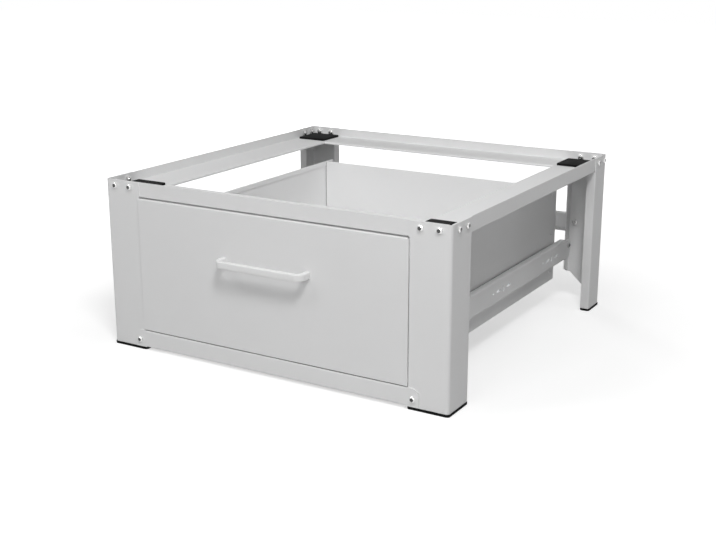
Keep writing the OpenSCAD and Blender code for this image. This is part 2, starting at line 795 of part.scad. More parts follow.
module ball_cage() {
    half_h = ball_row + cage_t / 2;
    depth = cage_x + cage_t - cage_tip_x;
    color(zinc) difference() {
        translate([cage_tip_x, 0, slide_z - half_h]) along_y(cage_y, cage_y + cage_l)
            folded([depth, 2 * half_h, depth], [cage_r, cage_r], cage_t);
        at_balls() cylinder(h = 4 * cage_t, d = ball_d + 2 * thread_fit, center = true);
    }
}
module left_ball_cage() handed(left) ball_cage();
module right_ball_cage() handed(right) ball_cage();
module left_slide_balls() color(zinc) handed(left) at_balls() sphere(d = ball_d);
module right_slide_balls() color(zinc) handed(right) at_balls() sphere(d = ball_d);

module slide_inner_member() {
    color(zinc) difference() {
        translate([box_x + slide_inner_d, 0, slide_z + inner_h / 2])
            along_y(inner_y, inner_y + slide_len)
            rotate(180) folded([slide_inner_d, inner_h, slide_inner_d],
                               [slide_inner_r, slide_inner_r], slide_t);
        at_slide_drawer_rivets() rivet_hole(box_t + slide_t);
    }
}
module left_slide_inner_member() handed(left) slide_inner_member();
module right_slide_inner_member() handed(right) slide_inner_member();
module slide_drawer_rivets() {
    color(zinc) for (side = [left, right]) handed(side) at_slide_drawer_rivets()
        rivet(box_t + slide_t);
}

// ---- Drawer ----

// Puts its child at the rivets from a drawer side into the back wall's flange
module at_back_rivets() {
    for (z = back_rivet_z) translate([box_x, back_rivet_y, z]) rotate([0, -90, 0]) children();
}
// Puts its child at the rivets from a drawer side's lower flange into the bottom
module at_bracket_rivets() {
    for (z = bracket_rivet_z) translate([box_x, bracket_rivet_y, z]) rotate([0, -90, 0]) children();
}
// Puts its child at the rivets from the bottom's rear flange into the back wall
module at_floor_rivets() {
    for (x = floor_rivet_x, y = [bracket_rivet_y, back_rivet_y]) translate([x, y, floor_z]) children();
}
module at_side_studs() {
    for (z = side_stud_z) point_y([side_stud_x, panel_back_y, z]) children();
}
module at_bottom_studs() {
    for (x = bottom_stud_x) point_y([x, panel_back_y, bottom_stud_z]) children();
}
module at_front_studs() {
    at_bottom_studs() children();
    for (side = [left, right]) handed(side) at_side_studs() children();
}
module at_handle_screws() {
    for (side = [left, right]) point_back([side * handle_screw_x, panel_back_y, handle_z]) children();
}

module drawer_front() {
    half_panel = opening_x + front_lap;
    color(paint) difference() {
        translate([0, panel_y + member_flange_d, panel_z + panel_h]) along_x(-half_panel, half_panel)
            rotate(180) folded([member_flange_d, panel_h, member_flange_d], [fold_r, fold_r], front_t);
        for (side = [left, right]) handed(side)
            translate([opening_x - panel_flange_gap, panel_back_y, panel_z - cut])
            cube([front_flange_w, member_flange_d, panel_h + 2 * cut]);
        at_handle_screws() screw_hole(front_t);
    }
}

module drawer_handle() {
    color(paint) difference() {
        translate([-handle_w / 2, panel_y, handle_z - handle_bar_h / 2]) linear_extrude(handle_bar_h)
            rotate(-90) folded([handle_reach, handle_w, handle_reach], [handle_r, handle_r],
                               handle_bar_t);
        at_handle_screws() translate([0, 0, front_t]) cylinder(
            h = handle_screw_l - front_t + hole_end_gap, d = screw_d + 2 * handle_hole_fit);
    }
}

module handle_screws() {
    color(zinc) at_handle_screws() {
        rotate([180, 0, 0]) cylinder(h = pan_head_h, d1 = screw_head_d, d2 = pan_head_d);
        cylinder(h = handle_screw_l, d = screw_d);
    }
}

module drawer_side() {
    color(paint) difference() {
        translate([box_x - side_lip_w, 0, box_z]) along_y(panel_back_y, back_y + side_tail)
            folded([side_lip_w, box_h, 2 * hem_r, hem_h], [hem_r, hem_r, hem_r], box_t);
        at_back_rivets() rivet_hole(2 * box_t);
        at_bracket_rivets() rivet_hole(2 * box_t);
        at_slide_drawer_rivets() rivet_hole(box_t);
    }
}
module drawer_left_side() handed(left) drawer_side();
module drawer_right_side() handed(right) drawer_side();

// Angle that joins a drawer side to the drawer front
module drawer_bracket() {
    color(paint) difference() {
        translate([inner_half_w - box_flange_w, panel_back_y, bracket_z])
            linear_extrude(bracket_top_z - bracket_z)
            folded([box_flange_w, narrow_flange_w], [box_fold_r], box_t);
        at_side_studs() screw_hole(box_t);
        at_bracket_rivets() rivet_hole(2 * box_t + touch_gap);
    }
}
module drawer_left_bracket() handed(left) drawer_bracket();
module drawer_right_bracket() handed(right) drawer_bracket();

// Angle that joins the drawer's bottom to the drawer front
module drawer_floor_angle() {
    half_angle = bottom_half_w - notch_gap;
    color(paint) difference() {
        mirror([0, 1, 0]) translate([0, -panel_back_y - narrow_flange_w, joint_z])
            along_x(-half_angle, half_angle)
            folded([narrow_flange_w, box_flange_w], [box_fold_r], box_t);
        at_bottom_studs() screw_hole(box_t);
        at_floor_rivets() rivet_hole(2 * box_t + touch_gap);
    }
}

module drawer_back() {
    wall_z = joint_z + box_fold_r + notch_gap;
    wall_top = box_z + box_h;
    notch_z = wall_top - hem_h - touch_gap;
    middle_x = inner_half_w - box_fold_r;
    flange_d = box_flange_w;
    color(paint) difference() {
        union() {
            translate([-inner_half_w, flange_rear_y, wall_z]) linear_extrude(notch_z - wall_z)
                rotate(-90) folded([flange_d, 2 * inner_half_w, flange_d], [box_fold_r, box_fold_r],
                                   box_t);
            translate([-middle_x, back_y - box_t, notch_z])
                cube([2 * middle_x, box_t, wall_top - hem_r - notch_z]);
            mirror([0, 1, 0]) translate([0, -back_y + box_t - 2 * hem_r, wall_top])
                along_x(-middle_x, middle_x) back_hem();
            mirror([0, 1, 0]) translate([0, -flange_rear_y, joint_z])
                along_x(notch_gap - middle_x, middle_x - notch_gap)
                folded([flange_d, box_fold_r + notch_gap], [box_fold_r], box_t);
        }
        for (side = [left, right]) handed(side) at_back_rivets() rivet_hole(2 * box_t + touch_gap);
        at_floor_rivets() rivet_hole(2 * box_t + touch_gap);
    }
}

// Folded hem drawn from its free edge down to the wall, in Y and Z, below z = 0
module back_hem() {
    translate([0, -hem_h]) square([box_t, hem_h - hem_r]);
    translate([hem_r, -hem_r]) intersection() {
        difference() {
            circle(hem_r);
            circle(hem_r - box_t);
        }
        translate([-hem_r, 0]) square([2 * hem_r, hem_r]);
    }
}

module drawer_bottom() {
    color(paint) difference() {
        translate([-bottom_half_w, panel_back_y, floor_z])
            cube([2 * bottom_half_w, flange_rear_y - panel_back_y, box_t]);
        at_floor_rivets() rivet_hole(box_t);
    }
}

module drawer_box_rivets() {
    color(zinc) {
        for (side = [left, right]) handed(side) {
            at_back_rivets() rivet(2 * box_t + touch_gap);
            at_bracket_rivets() rivet(2 * box_t + touch_gap);
        }
        at_floor_rivets() rivet(2 * box_t + touch_gap);
    }
}

module front_panel_studs() color(zinc) at_front_studs() cylinder(h = stud_l, d = screw_d);
module front_panel_nuts() {
    color(zinc) at_front_studs() translate([0, 0, box_t]) hex_nut(screw_af, screw_nut_h, screw_d);
}

front_left_leg();
front_right_leg();
rear_left_leg();
rear_right_leg();
front_top_rail();
rear_top_rail();
left_top_rail();
right_top_rail();
front_kick_rail();
rear_cross_brace();
left_runner_rail();
right_runner_rail();
front_left_foot_cap();
front_right_foot_cap();
rear_left_foot_cap();
rear_right_foot_cap();
front_left_pad();
front_right_pad();
rear_left_pad();
rear_right_pad();
top_frame_bolts();
top_frame_nuts();
kick_rail_bolts();
kick_rail_nuts();
runner_rail_bolts();
runner_rail_nuts();
runner_front_screws();
runner_front_nuts();
cross_brace_bolts();
cross_brace_nuts();
left_slide_outer_member();
right_slide_outer_member();
slide_rail_rivets();
left_slide_stop();
right_slide_stop();
left_ball_cage();
right_ball_cage();
left_slide_balls();
right_slide_balls();
left_slide_inner_member();
right_slide_inner_member();
slide_drawer_rivets();
drawer_front();
drawer_handle();
handle_screws();
drawer_left_side();
drawer_right_side();
drawer_back();
drawer_bottom();
drawer_left_bracket();
drawer_right_bracket();
drawer_floor_angle();
drawer_box_rivets();
front_panel_studs();
front_panel_nuts();
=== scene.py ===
"""Washer pedestal drawer: coated sheet steel, zinc fasteners and slides, black rubber."""

import math

import bmesh
import bpy
from mathutils import Matrix, Vector


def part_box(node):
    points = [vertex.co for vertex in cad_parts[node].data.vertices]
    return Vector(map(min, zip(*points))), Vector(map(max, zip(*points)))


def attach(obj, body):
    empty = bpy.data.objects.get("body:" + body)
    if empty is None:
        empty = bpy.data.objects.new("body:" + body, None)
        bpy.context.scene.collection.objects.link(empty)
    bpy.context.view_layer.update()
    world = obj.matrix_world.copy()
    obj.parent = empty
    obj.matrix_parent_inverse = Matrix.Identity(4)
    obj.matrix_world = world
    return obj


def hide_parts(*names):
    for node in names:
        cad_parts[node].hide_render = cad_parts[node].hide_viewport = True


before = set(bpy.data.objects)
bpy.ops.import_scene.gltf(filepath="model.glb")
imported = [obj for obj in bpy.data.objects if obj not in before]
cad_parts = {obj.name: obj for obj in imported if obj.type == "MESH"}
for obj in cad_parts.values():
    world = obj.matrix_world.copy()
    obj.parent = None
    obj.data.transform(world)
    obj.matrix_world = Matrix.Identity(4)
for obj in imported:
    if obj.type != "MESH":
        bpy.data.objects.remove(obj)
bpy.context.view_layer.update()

MM = 0.001

# Corners of a CAD mesh that lie closer together than this are one
WELD = 0.01 * MM

# Hexagon bolts and their nuts
BOLT_THREAD = 6 * MM
BOLT_PITCH = 1.0 * MM
BOLT_ACROSS_FLATS = 10 * MM
BOLT_HEAD = 4 * MM
BOLT_SHANK = 4.6 * MM
BOLT_THREADED_END = 7.4 * MM
# Small screws, weld studs and their nuts
SCREW_THREAD = 4 * MM
SCREW_PITCH = 0.7 * MM
SCREW_ACROSS_FLATS = 7 * MM
SCREW_HEAD_WIDTH = 8 * MM
SUNK_HEAD = 2 * MM
SUNK_THREADED_END = 5.8 * MM
PAN_HEAD = 2.4 * MM
PAN_THREADED_END = 10 * MM
STUD_THREADED_END = 8.6 * MM
# Crossed slot of a screw: its arms against the head's width, and how narrow an arm is
SLOT_WIDTH = 0.2
SLOT_NARROWNESS = 0.24
# Rivets: head, tail, and the bore in the head with the pin that broke off in it
RIVET_HEAD_WIDTH = 8 * MM
RIVET_HEAD = 1.2 * MM
RIVET_TAIL_WIDTH = 5.5 * MM
RIVET_TAIL = 0.8 * MM
RIVET_BORE_FLOOR = 0.55 * MM
RIVET_BORE_TOOL = 2 * MM
RIVET_PIN_FOOT = 0.4 * MM
RIVET_PIN = 0.3 * MM
# How far a fastener is turned about its own axis, in degrees, and the seed of that turn
LEAST_TURN = 20
MOST_TURN = 40
TURN_SEED = 7
# Edges sharper than this, in degrees, stay sharp
FASTENER_CREASE = 35
HANDLE_CREASE = 50
PAD_CREASE = 40
FRONT_CREASE = 1
# Facets of round shapes
CONE_SIDES = 40
HEAD_SIDES = 32
BORE_SIDES = 28
SHANK_SIDES = 24
PIN_SIDES = 16
DOME_SEGMENTS = 28
DOME_RINGS = 14
THREAD_STEPS = 20
# Drawer handle
HANDLE_BAR = 9 * MM
HANDLE_BEND = 17 * MM
HANDLE_EDGE = 1.6 * MM
BEND_STEPS = 14
EDGE_STEPS = 5
# Rubber pads
PAD_CORNER = 3 * MM
PAD_EDGE = 0.8 * MM
PAD_CORNER_STEPS = 6
# Folded edges of the sheets, as the light sees them
SHEET_EDGE = 0.5 * MM
EDGE_SAMPLES = 6
# How far the painted shade in a narrow seam between two sheets reaches
PAINTED_SHADE_REACH = 9 * MM
PAINTED_SHADE_SAMPLES = 8
PAINTED_SHADE_BLACK = (0.02, 0.02, 0.02, 1)
# Relief of the finishes: faint, such as orange peel and scratches, or the grain of rubber
PEEL_DEPTH = 0.03 * MM
SCRATCH_DEPTH = 0.02 * MM
GRAIN_DEPTH = 0.08 * MM
# Drawer front: radius of its folds, and how far they are drawn in to a square corner
FRONT_FOLD = 3 * MM
FRONT_TIGHTNESS = 0.75

# Studio, in metres, degrees and watts
FLOOR_SIZE = 16
FLOOR_GREY = (0.55, 0.55, 0.55, 1)
# The floor's own light under the object, which grows to 1 between two distances from it
FLOOR_GLOW = 0.56
GLOW_GROWS_FROM = 0.5
GLOW_GROWS_TO = 1.3
WORLD_LEVEL = 0.02
WHITE = (1, 1, 1, 1)
LAMPS = [
    # name, place, width, power
    ("top_box", (0.2, -0.8, 2.6), 1.2, 8.0),
    ("key_box", (1.2, -1.5, 2.4), 0.6, 36.0),
    ("left_box", (-1.4, -1.7, 2.3), 0.8, 12.0),
    ("front_box", (0.2, -3.2, 1.5), 1.4, 20.0),
    ("low_box", (2.2, -2.4, 1.6), 0.8, 5.5),
    ("right_box", (1.6, 0.4, 2.6), 0.9, 6.0),
    ("rear_left_box", (-2.1, 2.3, 0.5), 0.8, 40.0),
    ("rear_right_box", (1.4, 3.0, 0.5), 0.8, 12.0),
]
LAMP_TARGET = Vector((0, 0, 0.16))
# A lamp whose y is greater stands behind the object
REAR_LAMPS_FROM = 1
# The photograph's view
CAMERA_PLACE = (1.1296, -1.91475, 0.7577)
CAMERA_TILT = 73.813
CAMERA_HEADING = 30.917
CAMERA_ROLL = -0.082
CAMERA_LENS = 58.88
CAMERA_SENSOR = 36


# ---- Node trees ----


class Wire:
    """A socket of a node tree that is used in sums like a number."""

    def __init__(self, plan, node, socket):
        self.plan = plan
        self.node = node
        self.socket = socket

    def also(self, name):
        """Another output of the same node."""
        return Wire(self.plan, self.node, self.node.outputs[name])

    def _maths(self, operation, first, second):
        return self.plan.add("ShaderNodeMath", {"operation": operation}, {0: first, 1: second})

    def __add__(self, other):
        return self._maths("ADD", self, other)

    def __radd__(self, other):
        return self._maths("ADD", other, self)

    def __sub__(self, other):
        return self._maths("SUBTRACT", self, other)

    def __rsub__(self, other):
        return self._maths("SUBTRACT", other, self)

    def __mul__(self, other):
        return self._maths("MULTIPLY", self, other)

    def __rmul__(self, other):
        return self._maths("MULTIPLY", other, self)

    def __truediv__(self, other):
        return self._maths("DIVIDE", self, other)


class Plan:
    """Adds nodes to a tree: settings first, then the values or links of the sockets."""

    def __init__(self, tree):
        self.tree = tree

    def add(self, kind, settings=None, sockets=None, output=0):
        node = self.tree.nodes.new(kind)
        for name, value in (settings or {}).items():
            if name == "stops":
                self._set_stops(node.color_ramp, value)
            else:
                setattr(node, name, value)
        for key, value in (sockets or {}).items():
            for one in value if isinstance(value, list) else [value]:
                if isinstance(one, Wire):
                    self.tree.links.new(one.socket, node.inputs[key])
                else:
                    node.inputs[key].default_value = one
        return Wire(self, node, node.outputs[output] if node.outputs else None)

    def _set_stops(self, ramp, stops):
        while len(ramp.elements) < len(stops):
            ramp.elements.new(1)
        for element, (place, grey) in zip(ramp.elements, stops):
            element.position = place
            element.color = (grey, grey, grey, 1)


class Finish(Plan):
    """A material whose colour, roughness and relief come from nodes."""

    def __init__(self, name):
        self.material = bpy.data.materials.new(name)
        self.material.use_nodes = True
        self.material.node_tree.nodes.clear()
        super().__init__(self.material.node_tree)
        self.place = self.add("ShaderNodeTexCoord", output="Object")

    def noise(self, scale, detail, stretch=(1, 1, 1)):
        """Noise from 0 to 1 whose grains are 1 / scale metres wide."""
        place = self.place
        if stretch != (1, 1, 1):
            place = self.add(
                "ShaderNodeVectorMath", {"operation": "MULTIPLY"}, {0: place, 1: stretch})
        return self.add(
            "ShaderNodeTexNoise", {}, {"Vector": place, "Scale": scale, "Detail": detail})

    def ramp(self, value, stops):
        """Grey that goes through the stops (value, grey)."""
        return self.add("ShaderNodeValToRGB", {"stops": stops}, {"Fac": value})

    def blend(self, mask, first, second):
        """One colour turning into another where the mask is 1."""
        settings = {"data_type": "RGBA"}
        return self.add("ShaderNodeMix", settings, {0: mask, 6: first, 7: second}, output=2)

    def relief(self, height, depth, strength, normal=None):
        """Bump of this depth, on top of another normal where one is given."""
        sockets = {"Height": height, "Distance": depth, "Strength": strength}
        if normal:
            sockets["Normal"] = normal
        return self.add("ShaderNodeBump", {}, sockets)

    def done(self, **sockets):
        """The finished material; an underscore in a socket's name stands for a space."""
        named = {name.replace("_", " "): value for name, value in sockets.items()}
        skin = self.add("ShaderNodeBsdfPrincipled", {}, named)
        self.add("ShaderNodeOutputMaterial", {}, {"Surface": skin})
        return self.material


def powder_coat(name, pale):
    """Light grey baked coat with faint orange peel and a few specks, and painted shade that
    darkens narrow seams.

    The number pale is added to its tone; a paler copy stands in as painted light for parts that
    are lit more brightly.
    """
    coat = Finish(name)
    edge = coat.add("ShaderNodeBevel", {"samples": EDGE_SAMPLES}, {"Radius": SHEET_EDGE})
    peel = coat.noise(620, 2)
    grain = coat.noise(2600, 1)
    cloud = coat.noise(9, 3)
    speck = coat.ramp(coat.noise(900, 0), [(0.74, 0), (0.78, 1)])
    dull = (0.790 + pale, 0.791 + pale, 0.792 + pale, 1)
    clear = (0.822 + pale, 0.823 + pale, 0.824 + pale, 1)
    tone = coat.blend(cloud, dull, clear)
    colour = coat.blend(speck * 0.10, tone, (0.60, 0.605, 0.61, 1))
    # Painted shade: ambient occlusion darkens the colour toward near black in narrow seams and
    # gaps between sheets, where shade falls.
    room = coat.add("ShaderNodeAmbientOcclusion", {"samples": PAINTED_SHADE_SAMPLES},
                    {"Distance": PAINTED_SHADE_REACH}, output="AO")
    seam_painted_shade = coat.ramp(room, [(0.12, 1), (0.34, 0)])
    colour = coat.blend(seam_painted_shade, colour, PAINTED_SHADE_BLACK)
    normal = coat.relief(peel + 0.35 * grain, PEEL_DEPTH, 0.6, edge)
    return coat.done(
        Base_Color=colour, Roughness=0.44 + 0.10 * peel + 0.06 * cloud, Normal=normal,
        Specular_IOR_Level=0.16)


def handle_enamel():
    """Smoother and whiter enamel of the handle."""
    coat = Finish("handle_enamel")
    peel = coat.noise(420, 2)
    cloud = coat.noise(30, 2)
    colour = coat.blend(cloud, (0.81, 0.81, 0.81, 1), (0.84, 0.84, 0.84, 1))
    normal = coat.relief(peel, PEEL_DEPTH, 0.4)
    return coat.done(
        Base_Color=colour, Roughness=0.24 + 0.1 * peel, Normal=normal, Specular_IOR_Level=0.4)


def polished_steel():
    """Bolts and nuts: ends painted dark, and flats and corners painted bright, as painted
    reflection.

    The mesh attribute facing says which way an end looks.
    """
    steel = Finish("polished_steel")
    scratch = steel.noise(1500, 3, (1, 1, 0.15))
    stain = steel.noise(220, 3)
    lie = steel.add("ShaderNodeNewGeometry", output="Normal")
    along = steel.add("ShaderNodeAttribute", {"attribute_name": "facing"}, output="Vector")
    end_on = steel.add("ShaderNodeVectorMath", {"operation": "DOT_PRODUCT"}, {0: lie, 1: along},
                       output="Value")
    # Painted reflection: faces that look along the axis get a dark colour and the flanks a bright
    # one.
    end = steel.ramp(end_on, [(0.82, 0), (0.94, 1)])
    painted_dark_reflection = steel.blend(stain, (0.035, 0.036, 0.038, 1), (0.11, 0.11, 0.109, 1))
    painted_bright_reflection = steel.blend(scratch, (0.62, 0.62, 0.62, 1), (0.84, 0.84, 0.83, 1))
    colour = steel.blend(end, painted_bright_reflection, painted_dark_reflection)
    normal = steel.relief(scratch, SCRATCH_DEPTH, 0.35)
    return steel.done(
        Base_Color=colour, Metallic=1.0, Roughness=0.12 + 0.16 * stain + 0.08 * scratch,
        Normal=normal)


def zinc_plate():
    """Slides and rivets: zinc on rolled steel, streaked along the rolling direction."""
    zinc = Finish("zinc_plate")
    streak = zinc.noise(900, 3, (1, 0.03, 1))
    spangle = zinc.add(
        "ShaderNodeTexVoronoi", {"feature": "F1"}, {"Vector": zinc.place, "Scale": 420.0},
        output="Distance")
    colour = zinc.blend(streak, (0.74, 0.75, 0.77, 1), (0.90, 0.91, 0.92, 1))
    normal = zinc.relief(streak + 0.3 * spangle, SCRATCH_DEPTH, 0.5)
    return zinc.done(
        Base_Color=colour, Metallic=1.0, Roughness=0.30 + 0.14 * streak + 0.1 * spangle,
        Normal=normal)


def ball_steel():
    """Bright hardened balls with a film of grease."""
    ball = Finish("ball_steel")
    film = ball.noise(700, 2)
    colour = ball.blend(film, (0.62, 0.62, 0.63, 1), (0.74, 0.74, 0.74, 1))
    return ball.done(Base_Color=colour, Metallic=1.0, Roughness=0.07 + 0.16 * film)


def black_rubber():
    """Moulded rubber: fine grain and a pale bloom."""
    rubber = Finish("black_rubber")
    grain = rubber.noise(1900, 2)
    bloom = rubber.noise(60, 4)
    colour = rubber.blend(bloom, (0.005, 0.005, 0.005, 1), (0.012, 0.012, 0.0125, 1))
    normal = rubber.relief(grain, GRAIN_DEPTH, 0.5)
    return rubber.done(
        Base_Color=colour, Roughness=0.7 + 0.2 * grain, Normal=normal, Specular_IOR_Level=0.06)


# ---- Meshes ----


def mesh_object(name, mesh):
    """Object at the origin that shows this mesh."""
    piece = bpy.data.objects.new(name, mesh)
    bpy.context.scene.collection.objects.link(piece)
    return piece


def crease(mesh, degrees):
    """Smooth shading, apart from edges sharper than this."""
    mesh.polygons.foreach_set("use_smooth", [True] * len(mesh.polygons))
    mesh.set_sharp_from_angle(angle=math.radians(degrees))


def solids_of(node):
    """The corners of each separate solid of a CAD node."""
    shape = bmesh.new()
    shape.from_mesh(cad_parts[node].data)
    bmesh.ops.remove_doubles(shape, verts=shape.verts, dist=WELD)
    met = set()
    solids = []
    for start in shape.verts:
        if start in met:
            continue
        met.add(start)
        found = [start]
        for vertex in found:
            for edge in vertex.link_edges:
                near = edge.other_vert(vertex)
                if near not in met:
                    met.add(near)
                    found.append(near)
        solids.append([vertex.co.copy() for vertex in found])
    shape.free()
    return solids


def fastener_seat(points, slender, head):
    """Where a fastener's head rests, the way the head faces, and what lies past the head.

    A slender fastener is longest along its axis, and a flat one is shortest there. The head is
    at the end that reaches furthest from the axis.
    """
    end_share = 0.45
    low = Vector([min(point[k] for point in points) for k in range(3)])
    high = Vector([max(point[k] for point in points) for k in range(3)])
    size = high - low
    axis = max(range(3), key=lambda k: size[k] if slender else -size[k])
    middle = (low + high) / 2
    reach = [0.0, 0.0]
    for point in points:
        off = point - middle
        if abs(off[axis]) > end_share * size[axis]:
            end = off[axis] > 0
            off[axis] = 0
            reach[end] = max(reach[end], off.length)
    facing = Vector((0, 0, 0))
    facing[axis] = 1 if reach[1] >= reach[0] else -1
    seat = middle + facing * (size[axis] / 2 - head)
    return seat, facing, size[axis] - head


def seats_mesh(name, seats):
    """One vertex for each fastener, with its facing and its length as attributes."""
    mesh = bpy.data.meshes.new(name)
    mesh.from_pydata([seat for seat, _, _ in seats], [], [])
    facing = mesh.attributes.new("facing", "FLOAT_VECTOR", "POINT")
    facing.data.foreach_set("vector", [value for _, way, _ in seats for value in way])
    length = mesh.attributes.new("length", "FLOAT", "POINT")
    length.data.foreach_set("value", [long for _, _, long in seats])
    return mesh


class Shop(Plan):
    """A Geometry Nodes tree with named inputs, and the shapes that fasteners are made of."""

    def __init__(self, name, sizes, material):
        tree = bpy.data.node_groups.new(name, "GeometryNodeTree")
        tree.interface.new_socket("Geometry", in_out="INPUT", socket_type="NodeSocketGeometry")
        tree.interface.new_socket("Geometry", in_out="OUTPUT", socket_type="NodeSocketGeometry")
        for size in sizes:
            tree.interface.new_socket(size, in_out="INPUT", socket_type="NodeSocketFloat")
        super().__init__(tree)
        self.material = material
        self.given = self.add("NodeGroupInput")

    def size(self, name):
        """One of the named inputs."""
        return self.given.also(name)

    def vector(self, x, y, z):
        return self.add("ShaderNodeCombineXYZ", {}, {0: x, 1: y, 2: z})

    def moved(self, shape, z=0.0, scale=(1, 1, 1)):
        """The shape scaled about the origin, then raised by z."""
        rise = self.vector(0.0, 0.0, z)
        return self.add("GeometryNodeTransform", {},
                        {"Geometry": shape, "Translation": rise, "Scale": scale})

    def prism(self, sides, radius, height, z=0.0):
        """Upright prism that stands on z."""
        sockets = {"Vertices": sides, "Radius": radius, "Depth": height}
        shape = self.add("GeometryNodeMeshCylinder", {}, sockets)
        return self.moved(shape, z + 0.5 * height)

    def cone(self, low_radius, high_radius, height, z=0.0, sides=CONE_SIDES):
        """Upright cone with a flat top, or a pyramid, that stands on z."""
        sockets = {"Vertices": sides, "Radius Bottom": low_radius, "Radius Top": high_radius,
                   "Depth": height}
        shape = self.add("GeometryNodeMeshCone", {}, sockets)
        return self.moved(shape, z)

    def dome(self, width, height):
        """Flattened ball about the origin, as wide as this and with its top at this height."""
        sockets = {"Segments": DOME_SEGMENTS, "Rings": DOME_RINGS, "Radius": 0.5 * width}
        shape = self.add("GeometryNodeMeshUVSphere", {}, sockets)
        return self.moved(shape, scale=self.vector(1.0, 1.0, height / (0.5 * width)))

    def shared(self, *shapes):
        """What the shapes have in common."""
        return self.add("GeometryNodeMeshBoolean", {"operation": "INTERSECT", "solver": "EXACT"},
                        {"Mesh 2": list(shapes)})

    def cut(self, shape, *tools):
        """The shape without the tools."""
        return self.add("GeometryNodeMeshBoolean", {"operation": "DIFFERENCE", "solver": "EXACT"},
                        {"Mesh 1": shape, "Mesh 2": list(tools)})

    def together(self, *shapes):
        return self.add("GeometryNodeJoinGeometry", {}, {"Geometry": list(shapes)})

    def threaded_ends(self, diameter, length, pitch):
        """Threaded end with a blunt point on every vertex, as deep as its fastener reaches."""
        ridge_radius = 0.46 * diameter
        core_radius = 0.44 * diameter
        point = 0.1 * diameter
        helix = self.add(
            "GeometryNodeCurveSpiral", {},
            {"Resolution": THREAD_STEPS, "Rotations": length / pitch,
             "Start Radius": ridge_radius, "End Radius": ridge_radius, "Height": length})
        tooth = self.add("GeometryNodeCurvePrimitiveCircle", {"mode": "RADIUS"},
                         {"Resolution": 3, "Radius": 0.04 * diameter})
        ridge = self.add("GeometryNodeCurveToMesh", {}, {"Curve": helix, "Profile Curve": tooth})
        core = self.prism(SHANK_SIDES, core_radius, length)
        tip = self.cone(0.36 * diameter, core_radius, point, -1.0 * point)
        return self.stand_on_seats(self.together(ridge, core, tip), self.reach() - point)

    def stand_on_seats(self, shape, sunk=None):
        """The shape on every vertex, turned to its facing, and sunk this far against it."""
        seats = self.given.also("Geometry")
        facing = self.add("GeometryNodeInputNamedAttribute", {"data_type": "FLOAT_VECTOR"},
                          {"Name": "facing"})
        if sunk is not None:
            back = self.add("ShaderNodeVectorMath", {"operation": "SCALE"},
                            {0: facing, "Scale": -1.0 * sunk})
            seats = self.add("GeometryNodeSetPosition", {}, {"Geometry": seats, "Offset": back})
        turn = self.add("FunctionNodeAlignRotationToVector", {"axis": "Z"}, {"Vector": facing})
        angle = self.add(
            "FunctionNodeRandomValue", {"data_type": "FLOAT"},
            {2: math.radians(LEAST_TURN), 3: math.radians(MOST_TURN), "Seed": TURN_SEED},
            output=1)
        about = self.add("FunctionNodeAxisAngleToRotation", {},
                         {"Axis": (0, 0, 1), "Angle": angle})
        turn = self.add("FunctionNodeRotateRotation", {"rotation_space": "LOCAL"},
                        {"Rotation": turn, "Rotate By": about})
        return self.add("GeometryNodeInstanceOnPoints", {},
                        {"Points": seats, "Instance": shape, "Rotation": turn})

    def reach(self):
        """How far a fastener reaches past its head."""
        return self.add("GeometryNodeInputNamedAttribute", {"data_type": "FLOAT"},
                        {"Name": "length"})

    def finish(self, shape):
        """Ends the tree in plain geometry with its material."""
        shape = self.add("GeometryNodeRealizeInstances", {}, {"Geometry": shape})
        shape = self.add("GeometryNodeSetMaterial", {},
                         {"Geometry": shape, "Material": self.material})
        self.add("NodeGroupOutput", {}, {"Geometry": shape})

    def build(self, name, mesh, values, degrees=FASTENER_CREASE):
        """Plain mesh that the tree makes from this one with these sizes."""
        piece = mesh_object(name, mesh)
        modifier = piece.modifiers.new("shop", "NODES")
        modifier.node_group = self.tree
        for item in self.tree.interface.items_tree:
            if item.in_out == "INPUT" and item.name in values:
                modifier[item.identifier] = values[item.name]
        graph = bpy.context.evaluated_depsgraph_get()
        made = bpy.data.meshes.new_from_object(piece.evaluated_get(graph))
        piece.modifiers.remove(modifier)
        piece.data = made
        crease(made, degrees)
        return piece


def hexagon_head(shop, width, height, flat, slope, both=False):
    """Hexagon with its corners turned off, on top or on both faces.

    The flat ring has this share of the width for its radius, and grows by the slope below it.
    """
    body = shop.prism(6, width / math.sqrt(3), height)
    top = shop.cone(flat * width + slope * height, flat * width, height)
    if not both:
        return shop.shared(body, top)
    foot = shop.cone(flat * width, flat * width + slope * height, height)
    return shop.shared(body, top, foot)


def bolt_shop(material):
    """Hexagon bolt: head, plain shank and threaded end."""
    shop = Shop("hexagon_bolt", ["Thread", "Width", "Head"], material)
    thread = shop.size("Thread")
    width = shop.size("Width")
    head = hexagon_head(shop, width, shop.size("Head"), flat=0.33, slope=1.1)
    shank = shop.prism(SHANK_SIDES, 0.47 * thread, BOLT_SHANK, -BOLT_SHANK)
    heads = shop.stand_on_seats(shop.together(head, shank))
    ends = shop.threaded_ends(thread, BOLT_THREADED_END, BOLT_PITCH)
    shop.finish(shop.together(heads, ends))
    return shop


def nut_shop(material):
    """Hexagon nut, turned on both faces, with a chamfer on its bore."""
    shop = Shop("hexagon_nut", ["Thread", "Width", "Height"], material)
    width = shop.size("Width")
    height = shop.size("Height")
    thread = shop.size("Thread")
    chamfer = 0.16 * thread
    body = hexagon_head(shop, width, height, flat=0.46, slope=1.7, both=True)
    bore = shop.prism(BORE_SIDES, 0.505 * thread, 3 * height, -1.0 * height)
    mouth = shop.cone(0.44 * thread, 0.6 * thread, chamfer, height - chamfer)
    shop.finish(shop.stand_on_seats(shop.cut(body, bore, mouth)))
    return shop


